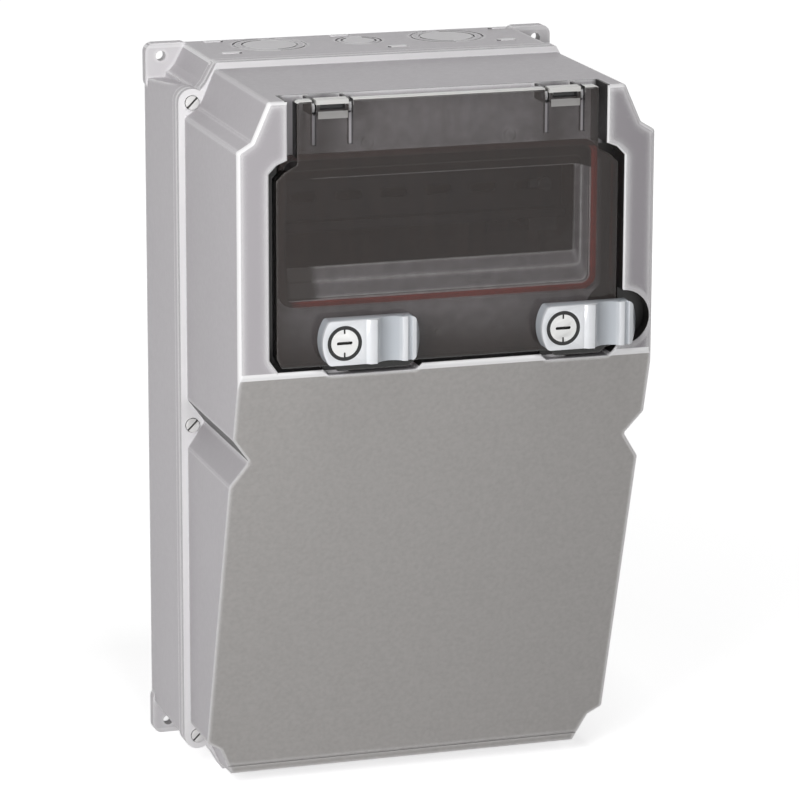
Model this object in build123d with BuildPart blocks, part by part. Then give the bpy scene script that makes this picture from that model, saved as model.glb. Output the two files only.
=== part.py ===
from build123d import *
import os
from math import cos, radians, sin

# A wall-mounted consumer unit for wet places: a back box, a deep front cover with a
# sloping lower panel, and a smoked window that is hinged over one row of modules.
# X runs to the right, Z up, and the front looks along -Y. The back face that lies on
# the wall is at y = 0, and the origin is in its middle. "Depth" is the distance out
# from the wall. All sizes are in millimetres.

# Overall sizes. A "drop" is a distance down from the top edge of the box.
width = 230.0
height = 389.0
base_depth = 71.0
cover_front = 181.0
crease_drop = 144.5
panel_bottom_front = 106.5
panel_bottom_rise = 7.5

# Walls and rims
base_wall = 3.0
back_wall = 3.0
cover_wall = 3.0
rim_proud = 1.0
rim_band = 6.5
rim_step = 3.2
flange_thick = 5.6
seam_gap = 0.9
seam_depth = 2.2
rim_land = 5.0
rim_land_thick = 9.0
ridge_round = 2.0
front_edge_round = 2.4

# Corner notches, given from the corner of the rim (sideways, downwards)
rim_notch_top = 20.9
rim_notch_kink = (14.9, 10.8)
rim_boss_angle = 125.0
boss_radius = 7.4
corner_screw = (7.4, 20.5)
hood_notch_top = 19.7
hood_notch_kink = (10.8, 23.3)
hood_notch_side = 27.9
lug_size = 25.0
lug_thick = 7.0
lug_round = 5.0
lug_hole_radius = 2.75
lug_hole = (8.5, 7.0)
pocket_drop = 4.5
pocket_width = 11.0
pocket_depth = 58.0
back_field_border = 14.0
back_field_round = 9.0
back_field_sink = 0.8

# Notches half way up the sides, for the middle cover screws
side_notch_inset = 12.5
side_notch_height = 2.0
side_notch_up = 12.5
side_notch_down = 14.0
mid_screw_inset = 6.0
mid_boss_radius = 5.0

# Cover screws and their brass inserts
screw_radius = 2.0
screw_head_radius = 3.7
screw_head_height = 2.6
screw_sink = 1.6
screw_play = 0.3
screw_slot = (1.1, 1.2)
screw_slot_turn = 45.0
insert_radius = 3.2
insert_length = 11.0

# Seal between the two shells
groove_inset = 0.5
groove_width = 2.4
groove_depth = 2.6

# Knockouts and raised marks on the top and bottom faces
knockout_depth = 22.0
large_knockout_place = 50.0
large_knockout_radii = (20.2, 15.5)
small_knockout_radii = (12.7, 9.8)
ring_width = 1.1
ring_sink = 0.9
mark_size = (11.0, 3.6)
mark_rise = 0.6
mark_places = ((-77, 5), (-77, 44), (14, 48), (85, 5), (-6, 5), (77, 44))

# Window recess in the cover
recess_depth = 18.0
recess_neck = 85.5
recess_shoulder_drop = 33.4
recess_step = 91.0
recess_step_drop = 35.6
recess_half = 95.3
recess_side_drop = 40.0
recess_bottom_drop = 142.9
recess_corner = (4.5, 6.5)
recess_round = 2.0
recess_edge_round = 1.2
middle_strip = 1.0
latch_dip = 3.0
latch_dip_start = 8.0
latch_dip_end = 45.0
scoop_radius = 14.5
scoop_place = 95.5
scoop_drop = 126.0
scoop_depth = 9.0
ejector_place = 38.4
ejector_drop = 29.7
ejector_radius = 3.6
ejector_line = 0.8
ejector_sink = 0.4
gate_drop = 131.4
gate_radius = 1.5
gate_rise = 0.8

# Shallow line across the foot of the sloping panel
foot_line_inset = 5.0
foot_line_width = 1.2
foot_line_sink = 0.4

# Module aperture at the foot of a bevelled well
module_width = 17.5
module_count = 9
aperture_drop = 72.5
aperture_tall = 46.0
aperture_play = 0.5
well_depth = 14.0
well_wall = 2.4
well_side = 3.0
well_top = 12.0
well_bottom = 14.0
well_round = 4.0
aperture_round = 1.5
well_step = 2.0
well_ledge = 0.8
ledge_share = 0.5
ledge_round = 2.5

# Window
window_thick = 3.0
window_gap_side = 3.6
window_gap_neck = 4.8
window_gap_bottom = 1.8
window_gap_top = 0.1
tongue_gap = 4.5
window_skirt = 5.0
window_edge_round = 1.0
window_skirt_wall = 1.8
seal_rib_wall = 1.6
seal_width = 2.6
seal_rise = 1.8
seal_sink = 1.2
seal_margin = 1.0
seal_gap = 0.3

# Window hinge
hinge_place = 62.0
hinge_axis_inset = 5.5
hinge_axis_drop = 7.5
barrel_radius = 4.5
barrel_width = 16.8
pin_radius = 2.0
pin_play = 0.06
ear_width = 1.5
ear_gap = 0.5
ear_radius = 3.8
hinge_slot_gap = 0.4
hinge_slot_length = 23.2
hinge_slit = (13.2, 2.6)
hinge_slit_rise = 0.6
hinge_slit_sink = 2.4
hinge_rib = (15.6, 3.8)
hinge_rib_drop = 3.4
hinge_rib_proud = 0.8

# Turn latches
latch_place = 58.8
latch_drop = 127.0
handle_half = 11.5
handle_heel = 11.6
handle_reach = 41.2
handle_bow = 3.6
handle_lift = 0.4
handle_corner_round = 2.5
handle_face = 10.6
handle_ridge = 12.0
ridge_start = 11.5
ridge_flat = (13.5, 17.0)
handle_dish = (23.5, 6.4)
handle_lip = (30.8, 8.4)
handle_bar = ((31.6, 9.8), (34.0, 9.8))
handle_groove = ((34.6, 8.0), (36.2, 8.0))
handle_end = ((36.8, 9.4), (38.6, 9.2))
handle_tip = 6.2
spindle_head_radius = 7.2
spindle_head_depth = 7.6
shaft_radius = 4.0
square_size = 5.2
latch_seal_radius = 9.1
latch_seal_depth = 3.0
fit_play = 0.06
latch_slot = (8.4, 1.6)
latch_slot_sink = 2.2
latch_tick = (1.0, 2.4)
latch_tick_sink = 0.8
cam_thick = 3.0
cam_place = 168.5
cam_half = 5.5
cam_reach = 17.6
cam_boss_radius = 6.5
keeper_width = 14.0
keeper_thick = 3.0
keeper_rise = 3.6
keeper_gap = 0.5
keeper_play = 0.8

# Rail for the modules
rail_front = 92.0
rail_height = 35.0
rail_channel = 27.0
rail_depth = 7.5
rail_sheet = 1.0
rail_end_gap = 20.0
rail_slot = (15.0, 5.2)
rail_slot_pitch = 25.0
rail_slot_count = 7

# Brackets that carry the rail
bracket_inset = 30.0
bracket_width = 16.0
bracket_sheet = 2.0
bracket_half = 26.0
bracket_foot = 15.0
post_height = 9.0
post_radius = 6.0

# Terminal bars under the rail
bar_length = 124.0
bar_high = 8.0
bar_deep = 9.0
bar_spacing = 20.0
bars_drop = 164.5
bar_front = 34.0
terminal_pitch = 10.0
terminal_count = 9
wire_hole_radius = 2.2
terminal_screw_radius = 1.8
terminal_screw_length = 3.4
terminal_head_radius = 2.7
terminal_head_height = 2.4
foot_width = 13.0
foot_place = 55.0
foot_flange = 3.0
foot_screw_spread = 42.0
foot_lip = 5.0
foot_lip_wall = 3.0

# Small machine screws inside
small_screw_radius = 1.9
small_screw_length = 9.0
small_head_radius = 3.6
small_head_height = 2.4
small_screw_slot = (0.9, 1.0)

os.makedirs("parts", exist_ok=True)


def front_plane(depth, x=0.0, z=0.0):
    """A plane that faces forward, at a depth from the wall: sketches use x and z."""
    return Plane(origin=(x, -depth, z), x_dir=(1, 0, 0), z_dir=(0, -1, 0))


def side_plane(x=0.0):
    """A plane that faces left: sketches use depth from the wall and height."""
    return Plane(origin=(x, 0, 0), x_dir=(0, -1, 0), z_dir=(-1, 0, 0))


def level_plane(z, x=0.0, depth=0.0):
    """A level plane: sketches use x and depth from the wall, and it faces down."""
    return Plane(origin=(x, -depth, z), x_dir=(1, 0, 0), z_dir=(0, 0, -1))


def dip_points(start, end, floor):
    """Outline of a shallow dip in the foot of the recess, which slopes down to its floor at both ends."""
    return [
        (start, floor + 3 * latch_dip),
        (start, floor + latch_dip),
        (start + latch_dip, floor),
        (end - latch_dip, floor),
        (end, floor + latch_dip),
        (end, floor + 3 * latch_dip),
    ]


def side_corners(sketch):
    """The corners of an outline, less those on its middle line."""
    return [v for v in sketch.vertices() if abs(v.X) > middle_strip]


def finish(piece, label):
    """Name a finished piece and write its file."""
    piece.part.label = label
    export_step(piece.part, f"parts/{label}.step")


# Places that several pieces share
half_width = width / 2
half_height = height / 2
crease_height = half_height - crease_drop
panel_bottom_height = panel_bottom_rise - half_height
recess_shoulder = half_height - recess_shoulder_drop
recess_side_top = half_height - recess_side_drop
recess_bottom = half_height - recess_bottom_drop
aperture_middle = half_height - aperture_drop
latch_height = half_height - latch_drop
scoop_height = half_height - scoop_drop
ejector_height = half_height - ejector_drop
gate_height = half_height - gate_drop
hinge_axis_height = half_height - hinge_axis_drop
bars_middle = half_height - bars_drop
bracket_place = half_width - bracket_inset
flange_front = base_depth + flange_thick
hood_half = half_width - rim_step
hood_top = half_height - rim_step
window_top = hood_top - window_gap_top
screw_x = half_width - corner_screw[0]
screw_z = half_height - corner_screw[1]
mid_screw_x = half_width - mid_screw_inset
screw_places = [(sx * screw_x, sz * screw_z) for sx in (-1, 1) for sz in (-1, 1)]
screw_places += [(-mid_screw_x, 0.0), (mid_screw_x, 0.0)]
screw_seat = flange_front - screw_sink
recess_floor = cover_front - recess_depth
aperture_half = module_width * module_count / 2 + aperture_play
well_half = aperture_half + well_side
well_ceiling = aperture_middle + aperture_tall / 2 + well_top
well_sill = aperture_middle - aperture_tall / 2 - well_bottom
well_middle = (well_ceiling + well_sill) / 2
well_tall = well_ceiling - well_sill
ledge_depth = recess_floor - ledge_share * well_depth
ledge_half = well_half - ledge_share * well_side
ledge_middle = well_middle + ledge_share * (aperture_middle - well_middle)
ledge_tall = well_tall + ledge_share * (aperture_tall - well_tall)
hinge_axis = cover_front - hinge_axis_inset
ear_place = barrel_width / 2 + ear_gap + ear_width / 2
hinge_places = {"left": -hinge_place, "right": hinge_place}
latch_places = {"left": -latch_place, "right": latch_place}
window_back = cover_front - window_thick
dip_spans = [
    (-latch_place - latch_dip_start, -latch_place + latch_dip_end),
    (latch_place - latch_dip_start, recess_half - recess_corner[0]),
]
tongue_foot = recess_bottom - latch_dip + window_gap_bottom
post_front = back_wall + post_height
rail_back = rail_front - rail_depth
bracket_screw_z = bracket_half + bracket_foot / 2
bracket_posts = []
foot_posts = []
for across in (-1, 1):
    for along in (-1, 1):
        bracket_posts.append((across * bracket_place, aperture_middle + along * bracket_screw_z))
        foot_posts.append((across * foot_place, bars_middle + along * foot_screw_spread / 2))
bar_places = {"earth": bars_middle + bar_spacing / 2, "neutral": bars_middle - bar_spacing / 2}
bar_back = bar_front - bar_deep
knockouts = [
    (-large_knockout_place, large_knockout_radii),
    (0.0, small_knockout_radii),
    (large_knockout_place, large_knockout_radii),
]

# The rim that the back box and the cover share: its notches bare the fixing lugs, and a
# round boss stands round each corner screw
boss_angle = radians(rim_boss_angle)
boss_start = (screw_x + boss_radius * cos(boss_angle), screw_z + boss_radius * sin(boss_angle))
with BuildSketch() as rim_outline:
    with BuildLine():
        Polyline(
            (half_width, screw_z),
            (half_width, 0),
            (0, 0),
            (0, half_height),
            (half_width - rim_notch_top, half_height),
            (half_width - rim_notch_kink[0], half_height - rim_notch_kink[1]),
            boss_start,
        )
        ThreePointArc(boss_start, (screw_x, screw_z + boss_radius), (screw_x + boss_radius, screw_z))
        if corner_screw[0] > boss_radius:
            Line((screw_x + boss_radius, screw_z), (half_width, screw_z))
    make_face()
    mirror(about=Plane.XZ)
    mirror(about=Plane.YZ)

# The wall of the cover keeps this outline all the way forward
with BuildSketch() as hood_outline:
    with BuildLine():
        Polyline(
            (0, hood_top),
            (half_width - hood_notch_top, hood_top),
            (half_width - hood_notch_kink[0], half_height - hood_notch_kink[1]),
            (hood_half, half_height - hood_notch_side),
            (hood_half, side_notch_height + side_notch_up),
            (half_width - side_notch_inset, side_notch_height),
            (hood_half, side_notch_height - side_notch_down),
            (hood_half, hood_notch_side - half_height),
            (half_width - hood_notch_kink[0], hood_notch_kink[1] - half_height),
            (half_width - hood_notch_top, -hood_top),
            (0, -hood_top),
            close=True,
        )
    make_face()
    mirror(about=Plane.YZ)
    fillet(side_corners(hood_outline), radius=ridge_round)

# Recess for the window, open through the top of the cover. Its foot dips under each handle.
with BuildSketch() as recess_outline:
    with BuildLine():
        Polyline(
            (0, half_height),
            (recess_neck, half_height),
            (recess_neck, recess_shoulder),
            (recess_step, half_height - recess_step_drop),
            (recess_half, recess_side_top),
            (recess_half, recess_bottom + recess_corner[1]),
            (recess_half - recess_corner[0], recess_bottom),
            (0, recess_bottom),
            close=True,
        )
    make_face()
    mirror(about=Plane.YZ)
    for start, end in dip_spans:
        Polygon(*dip_points(start, end, recess_bottom - latch_dip), align=None)

# Outline of the window, which keeps a gap to its recess
with BuildSketch() as window_outline:
    with BuildLine():
        Polyline(
            (0, window_top),
            (recess_neck - window_gap_neck, window_top),
            (recess_neck - window_gap_neck, recess_shoulder - window_gap_neck / 2),
            (recess_step - window_gap_side, half_height - recess_step_drop - window_gap_side),
            (recess_half - window_gap_side, recess_side_top - window_gap_side),
            (recess_half - window_gap_side, recess_bottom + recess_corner[1] + window_gap_bottom / 2),
            (recess_half - recess_corner[0] - window_gap_side / 2, recess_bottom + window_gap_bottom),
            (0, recess_bottom + window_gap_bottom),
            close=True,
        )
    make_face()
    mirror(about=Plane.YZ)
    for start, end in dip_spans:
        Polygon(*dip_points(start + tongue_gap, end - tongue_gap, tongue_foot), align=None)
    fillet(side_corners(window_outline), radius=recess_round)

# The seal follows the wall of the cover, inside the cover screws
with BuildSketch() as seal_core:
    add(hood_outline.sketch)
    offset(amount=-groove_inset - groove_width)

with BuildSketch() as seal_ring:
    add(hood_outline.sketch)
    offset(amount=-groove_inset)
    add(seal_core.sketch, mode=Mode.SUBTRACT)

# The window seal lies on the recess floor, round the well
with BuildSketch() as window_seal_ring:
    with Locations((0, well_middle)):
        RectangleRounded(
            2 * (well_half + seal_margin + seal_width),
            well_tall + 2 * (seal_margin + seal_width),
            well_round + seal_margin + seal_width,
        )
        RectangleRounded(
            2 * (well_half + seal_margin),
            well_tall + 2 * seal_margin,
            well_round + seal_margin,
            mode=Mode.SUBTRACT,
        )

with BuildSketch() as window_rib_ring:
    rib_out = seal_margin + seal_width / 2 + seal_rib_wall / 2
    rib_in = rib_out - seal_rib_wall
    with Locations((0, well_middle)):
        RectangleRounded(2 * (well_half + rib_out), well_tall + 2 * rib_out, well_round + rib_out)
        RectangleRounded(
            2 * (well_half + rib_in),
            well_tall + 2 * rib_in,
            well_round + rib_in,
            mode=Mode.SUBTRACT,
        )

# Back box
with BuildPart() as base_box:
    with BuildSketch(front_plane(0)):
        add(rim_outline.sketch)
        offset(amount=-rim_proud)
    extrude(amount=base_depth)
    with BuildSketch(front_plane(base_depth - rim_band)):
        add(rim_outline.sketch)
    extrude(amount=rim_band)
    with BuildSketch(front_plane(0)):
        with GridLocations(width - lug_size, height - lug_size, 2, 2):
            RectangleRounded(lug_size, lug_size, lug_round)
    extrude(amount=lug_thick)
    with BuildSketch(front_plane(back_wall)):
        add(rim_outline.sketch)
        offset(amount=-rim_proud - base_wall)
    extrude(amount=base_depth - rim_land_thick - back_wall, mode=Mode.SUBTRACT)
    with BuildSketch(front_plane(base_depth - rim_land_thick)):
        add(hood_outline.sketch)
        offset(amount=-rim_land)
    extrude(amount=rim_land_thick, mode=Mode.SUBTRACT)
    # Bosses for the cover screws, and posts for what is mounted inside
    with BuildSketch(front_plane(0)):
        with GridLocations(2 * screw_x, 2 * screw_z, 2, 2):
            Circle(boss_radius - rim_proud)
        with GridLocations(2 * mid_screw_x, 0, 2, 1):
            Circle(mid_boss_radius)
    extrude(amount=base_depth - rim_land_thick / 2)
    with BuildSketch(front_plane(back_wall / 2)):
        with Locations(*bracket_posts, *foot_posts):
            Circle(post_radius)
    extrude(amount=post_front - back_wall / 2)
    # The boss is cut back beside each fixing lug, so that a driver reaches the wall screw
    boss_top = screw_z + boss_radius
    for side in (-1, 1):
        for end in (-1, 1):
            with BuildSketch(side_plane(side * (half_width - pocket_width / 2))):
                Polygon(
                    (lug_thick, end * boss_top),
                    (lug_thick, end * (boss_top - rim_proud - pocket_drop)),
                    (pocket_depth, end * (boss_top - rim_proud)),
                    (pocket_depth, end * boss_top),
                    align=None,
                )
            extrude(amount=pocket_width / 2, both=True, mode=Mode.SUBTRACT)
    # Seats of the inserts, tapped posts, wall screw holes and the groove of the seal
    with BuildSketch(front_plane(base_depth - insert_length)):
        with Locations(*screw_places):
            Circle(insert_radius)
    extrude(amount=insert_length, mode=Mode.SUBTRACT)
    for flange, places in ((bracket_sheet, bracket_posts), (foot_flange, foot_posts)):
        with BuildSketch(front_plane(post_front + flange - small_screw_length)):
            with Locations(*places):
                Circle(small_screw_radius)
        extrude(amount=small_screw_length - flange, mode=Mode.SUBTRACT)
    with BuildSketch(front_plane(0)):
        with GridLocations(width - 2 * lug_hole[0], height - 2 * lug_hole[1], 2, 2):
            Circle(lug_hole_radius)
    extrude(amount=lug_thick, mode=Mode.SUBTRACT)
    with BuildSketch(front_plane(base_depth - groove_depth)):
        add(seal_ring.sketch)
    extrude(amount=groove_depth, mode=Mode.SUBTRACT)
    # Knockouts and moulded marks on the top and bottom faces
    for end in (-1, 1):
        face = half_height - rim_proud
        with BuildSketch(level_plane(end * (face - ring_sink))):
            for place, radii in knockouts:
                with Locations((place, knockout_depth)):
                    for radius in radii:
                        Circle(radius)
                        Circle(radius - ring_width, mode=Mode.SUBTRACT)
        extrude(amount=-end * ring_sink, mode=Mode.SUBTRACT)
        with BuildSketch(level_plane(end * face)):
            with Locations(*mark_places):
                SlotOverall(*mark_size)
        extrude(amount=-end * mark_rise)
    # Shallow field in the back face
    with BuildSketch(front_plane(0)):
        RectangleRounded(width - 2 * back_field_border, height - 2 * back_field_border, back_field_round)
    extrude(amount=back_field_sink, mode=Mode.SUBTRACT)
finish(base_box, "base_box")

# Foam seal that lies in the groove of the back box
with BuildPart() as cover_gasket:
    with BuildSketch(front_plane(base_depth - groove_depth)):
        add(seal_ring.sketch)
    extrude(amount=groove_depth)
finish(cover_gasket, "cover_gasket")

# Front cover. First the block of the hood: its outline, cut to the profile of its side.
hood_profile = [
    (base_depth, hood_top),
    (cover_front, hood_top),
    (cover_front, crease_height),
    (panel_bottom_front, panel_bottom_height),
    (flange_front, -hood_top),
    (base_depth, -hood_top),
]
panel_foot_plane = Plane(
    origin=(0, -panel_bottom_front, panel_bottom_height),
    x_dir=(0, panel_bottom_front - cover_front, crease_height - panel_bottom_height),
    z_dir=(-1, 0, 0),
)
with BuildPart() as hood_block:
    with BuildSketch(front_plane(base_depth)):
        add(hood_outline.sketch)
    extrude(amount=cover_front - base_depth)
    with BuildSketch(side_plane()):
        Polygon(*hood_profile, align=None)
    extrude(amount=half_width, both=True, mode=Mode.INTERSECT)
    front_edges = hood_block.faces().sort_by(Axis.Y)[0].edges()
    fillet(front_edges, radius=front_edge_round)

# The space inside the hood, which leaves walls round the recess and its thumb scoop
with BuildPart() as hood_space:
    with BuildSketch(front_plane(base_depth)):
        add(hood_outline.sketch)
        offset(amount=-cover_wall)
    extrude(amount=cover_front - base_depth)
    with BuildSketch(side_plane()):
        Polygon((0, hood_top), *hood_profile[1:5], (0, -hood_top), align=None)
        offset(amount=-cover_wall)
    extrude(amount=half_width, both=True, mode=Mode.INTERSECT)
    with BuildSketch(front_plane(recess_floor - cover_wall)):
        add(recess_outline.sketch)
        offset(amount=cover_wall)
    extrude(amount=recess_depth + cover_wall, mode=Mode.SUBTRACT)
    with BuildSketch(front_plane(cover_front - scoop_depth - cover_wall, x=scoop_place, z=scoop_height)):
        Circle(scoop_radius + cover_wall)
    extrude(amount=scoop_depth + cover_wall, mode=Mode.SUBTRACT)

# The space of the window recess, whose front edge is rounded
with BuildPart() as recess_space:
    with BuildSketch(front_plane(recess_floor)):
        add(recess_outline.sketch)
        fillet([v for v in side_corners(recess_outline) if v.Y < hood_top], radius=recess_round)
    extrude(amount=2 * recess_depth)
    with BuildSketch(front_plane(cover_front)):
        add(recess_outline.sketch)
        offset(amount=2 * recess_edge_round)
    extrude(amount=recess_depth)
    front_faces = recess_space.faces().filter_by_position(Axis.Y, -cover_front, -cover_front)
    fillet(front_faces[0].inner_wires()[0].edges(), radius=recess_edge_round)

# The bevelled well that leads from the recess down to the modules, with a ledge half way
with BuildPart() as well_shell:
    with BuildSketch(front_plane(recess_floor - cover_wall / 2, z=well_middle)):
        RectangleRounded(2 * (well_half + well_wall), well_tall + 2 * well_wall, well_round)
    with BuildSketch(front_plane(recess_floor - well_depth, z=aperture_middle)):
        RectangleRounded(2 * (aperture_half + well_wall), aperture_tall + 2 * well_wall, well_round)
    loft()

with BuildPart() as well_space:
    with BuildSketch(front_plane(recess_floor - well_step, z=well_middle)):
        RectangleRounded(2 * well_half, well_tall, well_round)
    with BuildSketch(front_plane(ledge_depth, z=ledge_middle)):
        RectangleRounded(2 * ledge_half, ledge_tall, well_round)
    loft()
    with BuildSketch(front_plane(ledge_depth, z=ledge_middle)):
        RectangleRounded(2 * (ledge_half - well_ledge), ledge_tall - 2 * well_ledge, ledge_round)
    with BuildSketch(front_plane(recess_floor - well_depth + well_step, z=aperture_middle)):
        RectangleRounded(2 * aperture_half, aperture_tall, aperture_round)
    loft()
    with BuildSketch(front_plane(recess_floor - well_step, z=well_middle)):
        RectangleRounded(2 * well_half, well_tall, well_round)
    extrude(amount=2 * well_step)
    with BuildSketch(front_plane(recess_floor - 2 * well_depth, z=aperture_middle)):
        RectangleRounded(2 * aperture_half, aperture_tall, aperture_round)
    extrude(amount=well_depth + well_step)

with BuildPart() as front_cover:
    with BuildSketch(front_plane(base_depth)):
        add(rim_outline.sketch)
    extrude(amount=flange_thick)
    with BuildSketch(front_plane(base_depth)):
        add(rim_outline.sketch)
    extrude(amount=seam_gap, mode=Mode.SUBTRACT)
    with BuildSketch(front_plane(base_depth)):
        add(rim_outline.sketch)
        offset(amount=-seam_depth)
    extrude(amount=seam_gap)
    add(hood_block.part)
    add(hood_space.part, mode=Mode.SUBTRACT)
    add(well_shell.part)
    add(recess_space.part, mode=Mode.SUBTRACT)
    with BuildSketch(front_plane(cover_front - scoop_depth, x=scoop_place, z=scoop_height)):
        Circle(scoop_radius)
    extrude(amount=2 * scoop_depth, mode=Mode.SUBTRACT)
    add(well_space.part, mode=Mode.SUBTRACT)
    # Seat of the window seal round the well
    with BuildSketch(front_plane(recess_floor - seal_sink)):
        add(window_seal_ring.sketch)
    extrude(amount=seal_sink, mode=Mode.SUBTRACT)
    # Moulding marks on the recess floor, and the line across the foot of the panel
    with BuildSketch(front_plane(recess_floor - ejector_sink, z=ejector_height)):
        with GridLocations(2 * ejector_place, 0, 2, 1):
            Circle(ejector_radius)
            Circle(ejector_radius - ejector_line, mode=Mode.SUBTRACT)
    extrude(amount=ejector_sink, mode=Mode.SUBTRACT)
    with BuildSketch(front_plane(recess_floor, z=gate_height)):
        Circle(gate_radius)
    extrude(amount=gate_rise)
    with BuildSketch(panel_foot_plane):
        with Locations((foot_line_inset, 0)):
            Rectangle(foot_line_width, 2 * foot_line_sink)
    extrude(amount=half_width, both=True, mode=Mode.SUBTRACT)
    # Ears that hold the two hinge pins
    for place in hinge_places.values():
        for side in (-1, 1):
            with BuildSketch(side_plane(place + side * ear_place)):
                with Locations((hinge_axis, hinge_axis_height)):
                    Circle(ear_radius)
                with Locations(((hinge_axis + recess_floor) / 2, hinge_axis_height)):
                    Rectangle(hinge_axis - recess_floor, 2 * ear_radius)
                with Locations((hinge_axis, hinge_axis_height)):
                    Circle(pin_radius, mode=Mode.SUBTRACT)
            extrude(amount=ear_width / 2, both=True)
    # Keepers that the latch cams pass behind
    keeper_back = cam_place + cam_thick + keeper_gap
    for place in latch_places.values():
        with BuildSketch(front_plane(keeper_back, x=place, z=recess_bottom - latch_dip)):
            Rectangle(keeper_width, 2 * keeper_rise)
        extrude(amount=keeper_thick)
    # Cover screw holes with sunk seats
    with BuildSketch(front_plane(base_depth)):
        with Locations(*screw_places):
            Circle(screw_radius + screw_play)
    extrude(amount=flange_thick, mode=Mode.SUBTRACT)
    with BuildSketch(front_plane(screw_seat)):
        with Locations(*screw_places):
            Circle(screw_head_radius + screw_play)
    extrude(amount=screw_sink, mode=Mode.SUBTRACT)
finish(front_cover, "front_cover")

# Smoked window: a panel with a return round its edge, a rib that presses on the seal, and
# two hinge barrels between slots that clear the ears
with BuildPart() as window:
    with BuildSketch(front_plane(window_back - window_skirt)):
        add(window_outline.sketch)
    extrude(amount=window_thick + window_skirt)
    panel_edges = window.faces().sort_by(Axis.Y)[0].edges()
    fillet(panel_edges, radius=window_edge_round)
    with BuildSketch(front_plane(window_back - window_skirt)):
        add(window_outline.sketch)
        offset(amount=-window_skirt_wall)
    extrude(amount=window_skirt, mode=Mode.SUBTRACT)
    with BuildSketch(front_plane(recess_floor + seal_rise + seal_gap)):
        add(window_rib_ring.sketch)
    extrude(amount=window_back - recess_floor - seal_rise - seal_gap)
    for place in hinge_places.values():
        with BuildSketch(front_plane(window_back - window_skirt, x=place, z=window_top)):
            with GridLocations(2 * ear_place, 0, 2, 1):
                Rectangle(ear_width + 2 * hinge_slot_gap, 2 * hinge_slot_length)
        extrude(amount=window_thick + window_skirt, mode=Mode.SUBTRACT)
        with BuildSketch(side_plane(place)):
            with Locations((hinge_axis, hinge_axis_height)):
                Circle(barrel_radius)
        extrude(amount=barrel_width / 2, both=True)
        with BuildSketch(side_plane(place)):
            with Locations((hinge_axis, hinge_axis_height)):
                Circle(pin_radius + pin_play)
        extrude(amount=barrel_width / 2, both=True, mode=Mode.SUBTRACT)
        slit_height = hinge_axis_height + hinge_slit_rise
        with BuildSketch(front_plane(cover_front - hinge_slit_sink, x=place, z=slit_height)):
            Rectangle(*hinge_slit)
        extrude(amount=hinge_slit_sink, mode=Mode.SUBTRACT)
        with BuildSketch(front_plane(window_back, x=place, z=hinge_axis_height - hinge_rib_drop)):
            Rectangle(*hinge_rib)
        extrude(amount=window_thick + hinge_rib_proud)
    for place in latch_places.values():
        with BuildSketch(front_plane(window_back - window_skirt, x=place, z=recess_bottom)):
            Rectangle(keeper_width + 2 * keeper_play, 2 * latch_dip)
        extrude(amount=window_skirt, mode=Mode.SUBTRACT)
    with BuildSketch(front_plane(window_back)):
        with Locations(*[(place, latch_height) for place in latch_places.values()]):
            Circle(shaft_radius + fit_play)
    extrude(amount=window_thick, mode=Mode.SUBTRACT)
finish(window, "window")

with BuildPart() as window_gasket:
    with BuildSketch(front_plane(recess_floor - seal_sink)):
        add(window_seal_ring.sketch)
    extrude(amount=seal_sink + seal_rise)
finish(window_gasket, "window_gasket")

# Hinge pins, held in the ears
for side, place in hinge_places.items():
    with BuildPart() as hinge_pin:
        with BuildSketch(side_plane(place)):
            with Locations((hinge_axis, hinge_axis_height)):
                Circle(pin_radius)
        extrude(amount=barrel_width / 2 + ear_gap + ear_width, both=True)
    finish(hinge_pin, f"hinge_pin_{side}")

# Turn latches. The handle has bowed ends. It is cut from its plan outline and its side
# profile, with a dish for the thumb. Its depths are measured from the front of the window.
handle_back = cover_front + handle_lift
head_front = cover_front + handle_face
head_back = head_front - spindle_head_depth
heel_side = handle_bow - handle_heel
reach_side = handle_reach - handle_bow
with BuildSketch() as handle_outline:
    with BuildLine():
        Line((heel_side, handle_half), (reach_side, handle_half))
        ThreePointArc((reach_side, handle_half), (handle_reach, 0), (reach_side, -handle_half))
        Line((reach_side, -handle_half), (heel_side, -handle_half))
        ThreePointArc((heel_side, -handle_half), (-handle_heel, 0), (heel_side, handle_half))
    make_face()
    fillet(handle_outline.vertices(), radius=handle_corner_round)

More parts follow.
